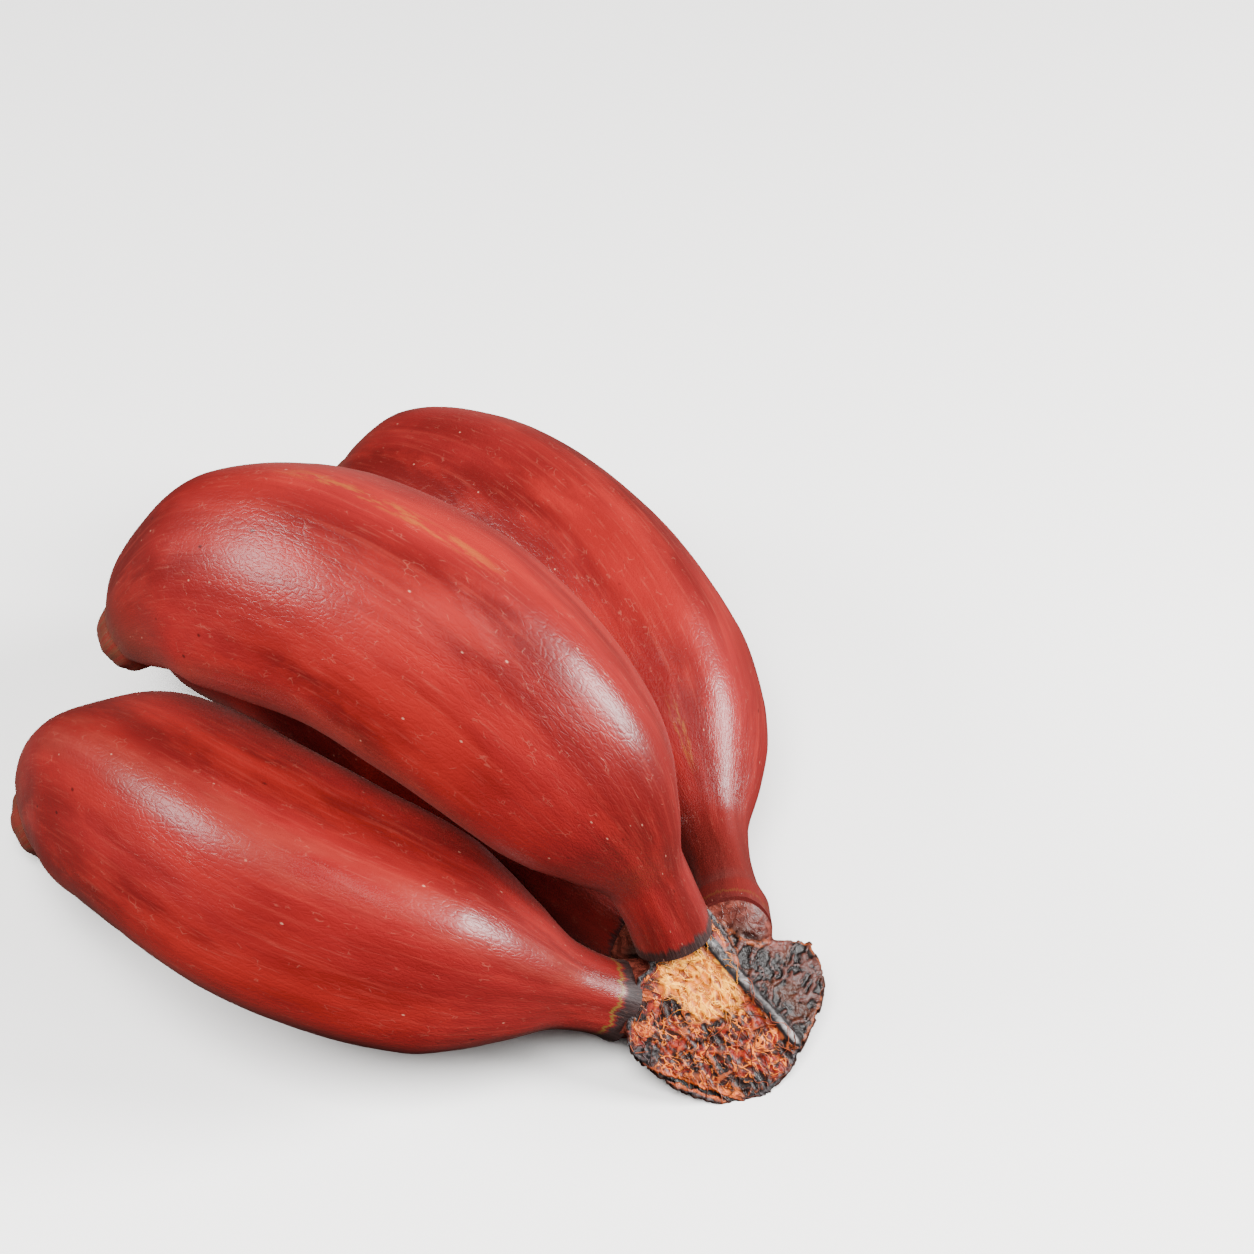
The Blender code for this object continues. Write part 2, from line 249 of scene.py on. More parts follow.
def spineFrames(fruit):
    # frames along the curve: a point, the way along, the way of the droop, the way of the sway
    heading = math.radians(fruit["heading"])
    rise = math.radians(fruit["rise"])
    flat = math.cos(rise)
    along = Vector((flat * math.cos(heading), flat * math.sin(heading), math.sin(rise)))
    down = Vector((0.0, 0.0, -1.0))
    down = (down - down.dot(along) * along).normalized()
    point = Vector(fruit["root"])
    steps = growth["spineSteps"]
    step = fruit["length"] / steps
    frames = [(point.copy(), along.copy(), down.copy(), along.cross(down))]
    for i in range(steps):
        place = (i + 0.5) / steps
        droop = bendAt(fruit["droop"], place) / fruit["length"]
        sway = bendAt(fruit["sway"], place) / fruit["length"]
        turned = (along + step * (droop * down + sway * along.cross(down))).normalized()
        point = point + step * 0.5 * (along + turned)
        along = turned
        down = (down - down.dot(along) * along).normalized()
        frames.append((point.copy(), along.copy(), down.copy(), along.cross(down)))
    return frames


def frameAt(fruit, frames, place):
    # past either end the curve runs on straight
    steps = growth["spineSteps"]
    if place <= 0.0:
        point, along, down, side = frames[0]
        return point + along * (place * fruit["length"]), along, down, side
    index = min(place, 1.0) * steps
    low = min(int(index), steps - 1)
    point, along, down, side = [a.lerp(b, index - low) for a, b in zip(frames[low], frames[low + 1])]
    if place > 1.0:
        point = point + along * ((place - 1.0) * fruit["length"])
    return point, along.normalized(), down.normalized(), side.normalized()


def girthAt(fruit, place):
    return smoothThrough(tuple(zip(girthPlaces, fruit["girth"])), place)


def spineObject(name, fruit):
    # the fruit's centre line, with what the tree needs at each point kept as attributes
    frames = spineFrames(fruit)
    foot = fruit["foot"] - growth["tuckIn"] / fruit["length"]
    rows = []
    for i in range(growth["sections"] + 1):
        place = foot + (1.0 - foot) * i / growth["sections"]
        ridged = smoothThrough(growth["ridgeFade"], place)
        rows.append((frameAt(fruit, frames, place), girthAt(fruit, place), ridged, place, 0.0))
    lastGirth = girthAt(fruit, 1.0)
    lastStep = growth["blossomGirth"][-1][0]
    for i in range(1, growth["blossomSections"] + 1):
        step = lastStep * i / growth["blossomSections"]
        place = 1.0 + smoothThrough(growth["blossomReach"], step) / fruit["length"]
        girth = lastGirth * smoothThrough(growth["blossomGirth"], step)
        ridged = max(0.0, 1.0 - step / growth["cornerSteps"]) * growth["ridgeFade"][-1][1]
        share = 1.0 + growth["stepShare"] * step
        rows.append((frameAt(fruit, frames, place), girth, ridged, share, step / lastStep))
    mesh = bpy.data.meshes.new(name + "Spine")
    mesh.from_pydata([row[0][0] for row in rows], [(i, i + 1) for i in range(len(rows) - 1)], [])
    columns = {
        "girth": ("FLOAT", [row[1] * growth["slim"] for row in rows]),
        "ridged": ("FLOAT", [row[2] for row in rows]),
        "share": ("FLOAT", [row[3] for row in rows]),
        "blossom": ("FLOAT", [row[4] for row in rows]),
        "droopWay": ("FLOAT_VECTOR", [row[0][2] for row in rows]),
        "swayWay": ("FLOAT_VECTOR", [row[0][3] for row in rows]),
    }
    for label, (kind, values) in columns.items():
        data = mesh.attributes.new(label, kind, "POINT").data
        flat = np.array(values, dtype=np.float32).ravel()
        data.foreach_set("value" if kind == "FLOAT" else "vector", flat)
    return addObject(name + "Spine", mesh)


def fruitTree(name, fruit, material):
    # sweeps a round along the centre line, raises the corners of its section, and dents the skin
    tree, given = newTree(name + "Growth", (
        ("Sides", "NodeSocketInt", 32), ("Ridge Height", "NodeSocketFloat", 0.08),
        ("Ridge Sharpness", "NodeSocketFloat", 9.0), ("Dent Depth", "NodeSocketFloat", 0.0003),
        ("Dents per Metre", "NodeSocketFloat", 90.0), ("Rim Scallop", "NodeSocketFloat", 0.03),
        ("Seed", "NodeSocketFloat", 0.0)))
    curve = addNode(tree, "GeometryNodeMeshToCurve", {"Mesh": given["Geometry"]})
    here = addNode(tree, "GeometryNodeInputPosition")
    centreLine = addNode(tree, "GeometryNodeStoreNamedAttribute",
                         {"Geometry": curve, "Name": "centre", "Value": here},
                         data_type="FLOAT_VECTOR", domain="POINT")
    ring = addNode(tree, "GeometryNodeCurvePrimitiveCircle", {"Resolution": given["Sides"], "Radius": 0.001})
    roundWay = addNode(tree, "GeometryNodeSplineParameter", (), "Factor")
    profile = addNode(tree, "GeometryNodeStoreNamedAttribute", {
        "Geometry": ring, "Name": "turn", "Value": reckon(tree, roundWay, ("MULTIPLY", 2.0 * math.pi))},
        data_type="FLOAT", domain="POINT")
    shape = addNode(tree, "GeometryNodeCurveToMesh",
                    {"Curve": centreLine, "Profile Curve": profile, "Fill Caps": True})

    turn, share, blossom, girth, ridged = [
        addNode(tree, "GeometryNodeInputNamedAttribute", {"Name": label}, data_type="FLOAT")
        for label in ("turn", "share", "blossom", "girth", "ridged")]
    centre, droopWay, swayWay = [
        addNode(tree, "GeometryNodeInputNamedAttribute", {"Name": label}, data_type="FLOAT_VECTOR")
        for label in ("centre", "droopWay", "swayWay")]
    cosine = reckon(tree, turn, ("COSINE",))
    sine = reckon(tree, turn, ("SINE",))
    corners = 0.0
    for degrees, height in fruit["ridges"]:
        corners = reckon(
            tree, turn, ("SUBTRACT", math.radians(degrees)), ("COSINE",), ("SUBTRACT", 1.0),
            ("MULTIPLY", given["Ridge Sharpness"]), ("EXPONENT",), ("SUBTRACT", growth["ridgeLevel"]),
            ("MULTIPLY", height), ("ADD", corners))
    raised = reckon(tree, corners, ("MULTIPLY", ridged), ("MULTIPLY", given["Ridge Height"]))
    # the skin unrolled: round the section, and along the fruit, in metres, so patterns have no seam
    fullest = max(fruit["girth"])
    flatSkin = addNode(tree, "ShaderNodeCombineXYZ", (
        reckon(tree, cosine, ("MULTIPLY", fullest)), reckon(tree, sine, ("MULTIPLY", fullest)),
        reckon(tree, share, ("MULTIPLY", fruit["length"]))))
    seedShift = addNode(tree, "ShaderNodeCombineXYZ", (given["Seed"], 0.0, given["Seed"]))
    noise = addNode(tree, "ShaderNodeTexNoise", {
        "Vector": addNode(tree, "ShaderNodeVectorMath", (flatSkin, seedShift), operation="ADD"),
        "Scale": given["Dents per Metre"], "Detail": 2.0, "Roughness": 0.55})
    onFruit = reckon(tree, 1.0, ("SUBTRACT", blossom))      # 1 on the fruit, down to 0 at the very tip
    dent = reckon(tree, noise, ("MULTIPLY", given["Dent Depth"]), ("MULTIPLY", onFruit))
    # the corky rim of the blossom end has nine notches, deepest where it stands highest
    notch = reckon(tree, noise, ("MULTIPLY_ADD", 9.0, reckon(tree, turn, ("MULTIPLY", 9.0))), ("SINE",))
    scallop = reckon(tree, blossom, ("MULTIPLY", onFruit), ("MULTIPLY", notch),
                     ("MULTIPLY", given["Rim Scallop"]))
    reach = reckon(tree, raised, ("ADD", scallop), ("ADD", 1.0), ("MULTIPLY", girth), ("SUBTRACT", dent))
    sideways = addNode(tree, "ShaderNodeVectorMath", (swayWay, sine), operation="MULTIPLY")
    outward = addNode(tree, "ShaderNodeVectorMath", (droopWay, cosine, sideways), operation="MULTIPLY_ADD")
    point = addNode(tree, "ShaderNodeVectorMath", (outward, reach, centre), operation="MULTIPLY_ADD")
    shape = addNode(tree, "GeometryNodeSetPosition",
                    {"Geometry": shape, "Position": withinSolids(tree, point)})
    for label, kind, value in (("skin", "FLOAT_VECTOR", flatSkin), ("corner", "FLOAT", corners)):
        shape = addNode(tree, "GeometryNodeStoreNamedAttribute",
                        {"Geometry": shape, "Name": label, "Value": value}, data_type=kind, domain="POINT")
    endTree(tree, addNode(tree, "GeometryNodeSetShadeSmooth", {"Geometry": shape}), material)
    return tree


def newMaterial(name):
    material = bpy.data.materials.new(name)
    material.use_nodes = True
    return material, material.node_tree, material.node_tree.nodes["Principled BSDF"]


def sized(tree, place, across, along, shift):
    # the place counted in grains of these sizes, moved on by a shift
    return addNode(tree, "ShaderNodeMapping", {
        "Vector": place, "Location": (shift, shift, shift),
        "Scale": (1.0 / across, 1.0 / across, 1.0 / along)})


def grain(tree, place, across, along, shift=0.0, detail=3.0, roughness=0.55, distortion=0.0):
    return addNode(tree, "ShaderNodeTexNoise", {
        "Vector": sized(tree, place, across, along, shift), "Scale": 1.0, "Detail": detail,
        "Roughness": roughness, "Distortion": distortion})


def meander(tree, place, noise, amount):
    # pushes a place about by the colour of a noise, so that lines drawn on it meander
    push = (amount, amount, amount)
    return addNode(tree, "ShaderNodeVectorMath", (noise.node.outputs["Color"], push, place),
                   operation="MULTIPLY_ADD")


peel = {
    "deepRed": "#560D0D", "ripeRed": "#771617", "brightMottle": "#901C18", "darkMottle": "#4A0C0B",
    "warmBelly": "#911C19", "paleStreak": "#A63C30", "darkStreak": "#3C0A0A", "paleFleck": "#B05C4C",
    "wornCorner": "#6E3026", "ochre": "#946422", "dullTip": "#5A241C", "scurf": "#4A3424",
    "maroonNeck": "#4A1613", "yellowed": "#5C5420", "scarBlack": "#0E0A0A", "scarGrey": "#282120",
    "lenticel": "#C08A74", "pinPrick": "#240A09", "hairline": "#B4705C",
    "corkDark": "#2A1C14", "corkPale": "#55402C", "corkHollow": "#120B08",
    "scarFrom": 0.022,          # share of the length past the foot, from which a scar is measured
    "relief": 0.00018,          # depth of the finest pores and streaks
    "wax": {"IOR": 1.38, "Sheen Weight": 0.05, "Sheen Roughness": 0.45,
            "Sheen Tint": toLinear("#F2C4B8"), "Coat Weight": 0.08, "Coat Roughness": 0.45},
}


def ripeSkin(name, fruit):
    # ripe red banana skin: a thin waxy peel, deep red with orange under it, drawn out lengthwise
    # as it grew. The wax gives a broad satin gloss and a pale bloom where it is seen edge-on.
    material, tree, shader = newMaterial(name)
    skin = addNode(tree, "ShaderNodeAttribute", (), "Vector", attribute_name="skin")
    share, corner, blossom = [addNode(tree, "ShaderNodeAttribute", (), "Fac", attribute_name=label)
                              for label in ("share", "corner", "blossom")]
    seed = fruit["seed"]
    broad = grain(tree, skin, 0.020, 0.055, seed, 2.0)
    patchy = grain(tree, skin, 0.013, 0.040, seed + 14.0, 2.0)
    mottle = grain(tree, skin, 0.0060, 0.014, seed + 5.0, 4.0, 0.6)
    streak = grain(tree, skin, 0.0011, 0.022, seed + 9.0, 3.0, 0.6)
    fine = grain(tree, skin, 0.0005, 0.006, seed + 2.0, 2.0, 0.6)

    red = tinted(
        tree, peel["deepRed"],
        (peel["ripeRed"], 1.0, (broad, 0.36, 0.64)),
        (peel["brightMottle"], 0.35, (mottle, 0.46, 0.68)),
        (peel["darkMottle"], 0.22, (mottle, 0.46, 0.30)),
        # the warm belly tone is the peel's own; its strength per fruit, low on the inner and back fruits that
        # lie in shade, is painted shade
        (peel["warmBelly"], 0.70 * fruit["warmthAndLight"],
         (share, 0.24, 0.44), (share, 0.88, 0.62), (patchy, 0.42, 0.64)),
        (peel["paleStreak"], 0.14, (streak, 0.54, 0.72)),
        (peel["darkStreak"], 0.18, (streak, 0.46, 0.28)),
        (peel["paleFleck"], 0.10, (fine, 0.58, 0.75)),
        # the corners of the section are worn to a duller, browner line
        (peel["wornCorner"], 0.30, (corner, 0.45, 0.95), (mottle, 0.34, 0.62)))

    # an ochre line of specks runs beside one corner for part of the way
    if fruit["ochre"]:
        degrees, first, last, amount = fruit["ochre"]
        fullest = max(fruit["girth"])
        towards = (math.cos(math.radians(degrees)) / fullest, math.sin(math.radians(degrees)) / fullest, 0.0)
        facing = addNode(tree, "ShaderNodeVectorMath", (skin, towards), "Value", operation="DOT_PRODUCT")
        red = tinted(tree, red, (
            peel["ochre"], 0.55 * amount, (facing, 0.9960, 0.9998), (share, first, first + 0.06),
            (share, last, last - 0.08), (grain(tree, skin, 0.0012, 0.0040, seed, 4.0, 0.7), 0.44, 0.60)))

    # duller and greyer towards the blossom end, maroon down the neck
    tipward = reckon(tree, broad, ("MULTIPLY_ADD", 0.30, share))
    scurfy = reckon(tree, mottle, ("MULTIPLY_ADD", 0.22, share))
    red = tinted(
        tree, red,
        (peel["dullTip"], 0.70, (tipward, 1.00, 1.18)),
        (peel["scurf"], 0.75, (scurfy, 1.06, 1.15), (streak, 0.36, 0.60)),
        (peel["maroonNeck"], fruit["dullNeck"], (share, 0.24, 0.08)))
    # the last millimetres of the neck are dried dark, where they leave the crown
    nearFoot = reckon(tree, mottle, ("MULTIPLY_ADD", 0.028, share))
    nearFoot = reckon(tree, streak, ("MULTIPLY_ADD", 0.016, nearFoot))
    scarLength, scarAmount = fruit["scar"]
    edge = fruit["foot"] + peel["scarFrom"] + scarLength
    dried = where(tree, scarAmount, (nearFoot, edge + 0.0030, edge - 0.0060))
    scar = tinted(tree, peel["scarBlack"], (peel["scarGrey"], 1.0, (fine, 0.40, 0.62)))
    red = tinted(
        tree, red,
        (peel["yellowed"], fruit["yellowed"],
         (nearFoot, edge + 0.0070, edge + 0.0040), (nearFoot, edge, edge + 0.0020)),
        (scar, dried))

    # sparse tiny pale lenticels, dark pin pricks and short pale hairlines
    spots = addNode(tree, "ShaderNodeTexVoronoi", {
        "Vector": sized(tree, skin, 0.0030, 0.0036, seed), "Scale": 1.0}, "Distance")
    chance = addNode(tree, "ShaderNodeSeparateColor", (spots.node.outputs["Color"],))
    pricks = addNode(tree, "ShaderNodeTexVoronoi", {
        "Vector": sized(tree, skin, 0.0062, 0.0080, seed + 3.0), "Scale": 1.0}, "Distance")
    winding = meander(tree, skin, grain(tree, skin, 0.002, 0.003, seed, 2.0, 0.5), 0.0014)
    hairs = addNode(tree, "ShaderNodeTexVoronoi", {
        "Vector": sized(tree, winding, 0.0011, 0.0017, seed + 7.0), "Scale": 1.0}, feature="DISTANCE_TO_EDGE")
    hairline = where(tree, 1.0, (hairs, 0.060, 0.010),
                     (grain(tree, skin, 0.0018, 0.0026, seed + 4.0, 2.0), 0.58, 0.68))
    # the corky ring of the blossom end
    cork = tinted(tree, peel["corkDark"], (peel["corkPale"], 1.0, (fine, 0.35, 0.65)),
                  (peel["corkHollow"], 1.0, (blossom, 0.50, 0.70)))
    corky = reckon(tree, mottle, ("MULTIPLY_ADD", 0.16, blossom))
    red = tinted(
        tree, red,
        (peel["lenticel"], 0.50, (spots, 0.085, 0.035), (chance, 0.66, 0.74)),
        (peel["pinPrick"], 0.7, (pricks, 0.070, 0.030)),
        (peel["hairline"], reckon(tree, hairline, ("MULTIPLY", 0.14))),
        (cork, 1.0, (corky, 0.38, 0.50)))
    tree.links.new(red, shader.inputs["Base Color"])

    # a satin gloss, a little duller in the bright mottles, and dull on the cork and the scar
    dull = reckon(tree, mottle, ("MULTIPLY_ADD", 0.14, 0.28), ("ADD", where(tree, 0.35, (blossom, 0.1, 0.4))))
    tree.links.new(reckon(tree, dried, ("MULTIPLY_ADD", 0.30, dull)), shader.inputs["Roughness"])
    pores = addNode(tree, "ShaderNodeTexVoronoi", {
        "Vector": sized(tree, winding, 0.0008, 0.0013, seed), "Scale": 1.0}, feature="DISTANCE_TO_EDGE")
    lift = where(tree, 0.35, (pores, 0.0, 0.22))
    softGrain = grain(tree, skin, 0.0013, 0.0030, seed + 1.0, 3.0, 0.6)
    for pattern, height in ((softGrain, 0.6), (streak, 0.45), (hairline, 0.30)):
        lift = reckon(tree, pattern, ("MULTIPLY_ADD", height, lift))
    bump = addNode(tree, "ShaderNodeBump", {"Height": lift, "Strength": 0.36, "Distance": peel["relief"]})
    tree.links.new(bump, shader.inputs["Normal"])
    for socket, value in peel["wax"].items():
        shader.inputs[socket].default_value = value
    return material


# The crown is worked from its solid's own mesh, and its planes and its rim are the solid's.
crown = {
    "voxel": 0.00034,           # size of the fine mesh's cells
    "soften": 5,                # smoothing passes that round the cut solid's corners
    "knifePoint": (0.0590, -0.0736, 0.0), "knifeNormal": (0.20, -0.69, 0.69),
    "breakPoint": (0.0661, -0.0660, 0.0055), "breakNormal": (0.515, -0.323, 0.794),
    "rimTop": (0.0497, -0.0556, 0.0207), "rimEnd": (0.0661, -0.0663, 0.0053),
    # ovals on the cut face: centre down the rim and away from it, then the two reaches
    "flesh": (0.0056, 0.0054, 0.0075, 0.0056),
    "spot": (-0.0012, 0.0172, 0.0034, 0.0018),
    "torn": (0.0250, 0.0150, 0.0040, 0.0034),
    "crackFrom": (0.0100, 0.0222), "crackTo": (0.0285, 0.0120),
    "cutRelief": 0.0004, "barkRelief": 0.0006, "rimHeight": 0.0006, "rimWidth": 0.0010, "seed": 0.3,
    "tones": {
        "driedRed": "#280805", "brickRed": "#6C160A", "burntOrange": "#8C2E0E", "blackPatch": "#120908",
        "brownPatch": "#2A1510", "webOrange": "#C4641A", "crestLitOrange": "#A84A1A",
        "freshShade": "#5E2206", "freshOrange": "#B8600A", "freshYellowLitCrest": "#E0941C",
        "freshFibre": "#F8AA34", "charBlack": "#100D0D", "charGrey": "#3A3536", "farSpot": "#D8701C",
        "tornFibre": "#B8561A", "crackLip": "#A8481A", "crackShadeBlack": "#050303",
        "barkBlack": "#0B0605", "barkBrown": "#2A1511", "barkCrestLit": "#3E2822", "barkRust": "#4A200F",
        "breakBlack": "#0A0403", "breakFoldLit": "#40201A", "breakRust": "#46200F", "copperEdgeLine": "#7A3A1C",
        "rimDark": "#1C191A", "rimGrey": "#3A3636", "rimPale": "#8C8684",
        "neckMaroon": "#431A14", "neckBrown": "#6A3026",
    },
}


def faceCoordinates(tree, place):
    # on the cut face: metres down the rim from its top, and metres away from the rim
    start = Vector(crown["rimTop"])
    down = (Vector(crown["rimEnd"]) - start).normalized()
    away = down.cross(Vector(crown["knifeNormal"]).normalized()).normalized()
    offset = addNode(tree, "ShaderNodeVectorMath", (place, start), operation="SUBTRACT")
    return [addNode(tree, "ShaderNodeVectorMath", (offset, way), "Value", operation="DOT_PRODUCT")
            for way in (down, away)]


def ovalShares(tree, run, across, oval):
    # a place on the cut face, from an oval's centre and in shares of its reaches
    place = addNode(tree, "ShaderNodeCombineXYZ", (run, across, 0.0))
    offset = addNode(tree, "ShaderNodeVectorMath", (place, (*oval[:2], 0.0)), operation="SUBTRACT")
    return addNode(tree, "ShaderNodeVectorMath", (offset, (*oval[2:], 1.0)), operation="DIVIDE")


def driedStalk():
    # a banana stalk cut and left to dry: orange fibres where the cut is fresh, brick red where they
    # have turned, and a nearly black, leathery skin round it that still has some gloss
    material, tree, shader = newMaterial("driedStalkFibre")
    place = addNode(tree, "ShaderNodeTexCoord", (), "Object")
    cut, broken, rim, neck, lift = [addNode(tree, "ShaderNodeAttribute", (), "Fac", attribute_name=label)
                                    for label in ("cut", "broken", "rim", "neck", "lift")]
    run, across = faceCoordinates(tree, place)
    tones = crown["tones"]

    def grains(size, shift=0.0, distortion=0.0):
        return grain(tree, place, size, size, shift, 4.0, 0.6, distortion)

    coarse = grains(0.0045)
    medium = grains(0.0016, 3.0, 0.6)
    tiny = grains(0.0006, 8.0)
    uneven = reckon(tree, coarse, ("SUBTRACT", 0.5))

    def patch(oval):
        # 1 in the middle of an oval on the cut face, 0 outside it, with a ragged edge
        shares = ovalShares(tree, run, across, oval)
        away = addNode(tree, "ShaderNodeVectorMath", (shares,), "Value", operation="LENGTH")
        away = reckon(tree, uneven, ("MULTIPLY_ADD", 1.6, away))
        return where(tree, 1.0, (reckon(tree, medium, ("MULTIPLY_ADD", 0.35, away)), 1.30, 0.80))

    # fine fibres in the face, drawn as a bent web
    laid = addNode(tree, "ShaderNodeCombineXYZ", (across, 0.0, run))
    bent = meander(tree, laid, grain(tree, place, 0.0034, 0.0034, 0.0, 3.0, 0.5), 0.0044)
    web = addNode(tree, "ShaderNodeTexVoronoi", {
        "Vector": sized(tree, bent, 0.0011, 0.0034, 2.0), "Scale": 1.0}, feature="DISTANCE_TO_EDGE")
    webLine = where(tree, 1.0, (web, 0.10, 0.02), (grains(0.0030, 5.0), 0.40, 0.56))

    turned = tinted(
        tree, tones["driedRed"],
        (tones["brickRed"], 1.0, (grains(0.0028, 20.0), 0.40, 0.60)),
        (tones["burntOrange"], 0.6, (medium, 0.50, 0.66)),
        (tones["blackPatch"], 1.0, (coarse, 0.47, 0.54)),
        (tones["brownPatch"], 1.0, (grains(0.0030, 12.0), 0.54, 0.60)),
        (tones["webOrange"], webLine, (coarse, 0.56, 0.48)),
        # paler orange on raised strings: partly the fibres' own colour, partly painted light on their crests
        (tones["crestLitOrange"], 0.5, (lift, 0.80, 1.05)))
    fresh = tinted(
        tree, tones["freshShade"],
        (tones["freshOrange"], 1.0, (medium, 0.36, 0.60)),
        # yellow on raised strings: partly the fibres' own colour, partly painted light on their crests
        (tones["freshYellowLitCrest"], 1.0, (lift, 0.60, 1.0)),
        (tones["freshFibre"], reckon(tree, webLine, ("MULTIPLY", 0.9))))
    char = tinted(tree, tones["charBlack"], (tones["charGrey"], 1.0, (tiny, 0.4, 0.6)))
    spot = patch(crown["spot"])
    clearOfSpot = reckon(tree, 1.0, ("SUBTRACT", spot))
    far = reckon(tree, uneven, ("MULTIPLY_ADD", 0.012, across))
    # the crack across the lower part of the face: its middle painted near black as the crack's shade, its
    # lips tinted
    crackWay = (Vector(crown["crackTo"]) - Vector(crown["crackFrom"])).normalized()
    onFace = addNode(tree, "ShaderNodeCombineXYZ", (run, across, 0.0))
    offset = addNode(tree, "ShaderNodeVectorMath", (onFace, (*crown["crackFrom"], 0.0)), operation="SUBTRACT")
    aside = addNode(tree, "ShaderNodeVectorMath", (offset, (crackWay.y, -crackWay.x, 0.0)), "Value",
                    operation="DOT_PRODUCT")
    aside = reckon(tree, medium, ("SUBTRACT", 0.5), ("MULTIPLY_ADD", 0.0016, aside), ("ABSOLUTE",))
    cracked = where(tree, 1.0, (aside, 0.00050, 0.00022))
    face = tinted(
        tree, turned,
        (fresh, patch(crown["flesh"])),
        (tones["farSpot"], spot),
        (tones["tornFibre"], patch(crown["torn"]), (medium, 0.40, 0.60)),
        (char, clearOfSpot, (far, 0.0185, 0.0205), (run, 0.0165, 0.0110)),
        (char, 1.0, (cut, 0.985, 0.80), (coarse, 0.34, 0.46)),
        (tones["crackLip"], 0.5, (aside, 0.0010, 0.0006)),
        # painted shade: the middle of the crack near black
        (tones["crackShadeBlack"], cracked))

    bark = tinted(
        tree, tones["barkBlack"],
        (tones["barkBrown"], 1.0, (medium, 0.35, 0.65)),
        # the raised wrinkles paler and the ground between them near black: painted light and shade
        (tones["barkCrestLit"], 0.7, (lift, 0.55, 0.95)),
        (tones["barkRust"], 0.6, (coarse, 0.55, 0.70)))
    flank = tinted(
        tree, tones["breakBlack"],
        # the folds' crests paler and the hollows between them near black: painted light and shade
        (tones["breakFoldLit"], 1.0, (lift, 0.55, 1.15)),
        (tones["breakRust"], 0.5, (coarse, 0.52, 0.62)))
    weathered = tinted(tree, tones["rimGrey"], (tones["rimPale"], 1.0, (coarse, 0.40, 0.60)))
    rimTop = tinted(tree, tones["rimDark"], (weathered, 1.0, (rim, 0.62, 0.98)))
    stub = tinted(tree, tones["neckMaroon"], (tones["neckBrown"], 1.0, (medium, 0.4, 0.62)))
    colour = tinted(
        tree, bark,
        (face, 1.0, (cut, 0.40, 0.60)),
        (flank, 1.0, (broken, 0.35, 0.65)),
        # a copper line along both edges of the old break
        (tones["copperEdgeLine"], 1.0, (broken, 0.10, 0.40), (broken, 0.80, 0.50), (medium, 0.42, 0.60)),
        (rimTop, 1.0, (rim, 0.25, 0.50)),
        (stub, 0.9, (reckon(tree, medium, ("MULTIPLY_ADD", 0.0030, neck)), 0.0060, 0.0036),
         (cut, 0.50, 0.20)))
    tree.links.new(colour, shader.inputs["Base Color"])
    dull = reckon(tree, broken, ("MULTIPLY_ADD", 0.06, 0.28))
    tree.links.new(reckon(tree, medium, ("MULTIPLY_ADD", 0.30, dull)), shader.inputs["Roughness"])
    height = reckon(tree, tiny, ("MULTIPLY_ADD", 0.5, medium))
    height = reckon(tree, webLine, ("MULTIPLY_ADD", 0.6, height))
    height = reckon(tree, height, ("SUBTRACT", reckon(tree, cut, ("MULTIPLY", 2.0), ("MULTIPLY", cracked))))
    bump = addNode(tree, "ShaderNodeBump", {"Height": height, "Strength": 0.6, "Distance": 0.00025})
    tree.links.new(bump, shader.inputs["Normal"])
    shader.inputs["IOR"].default_value = 1.40
    shader.inputs["Specular IOR Level"].default_value = 0.40
    return material


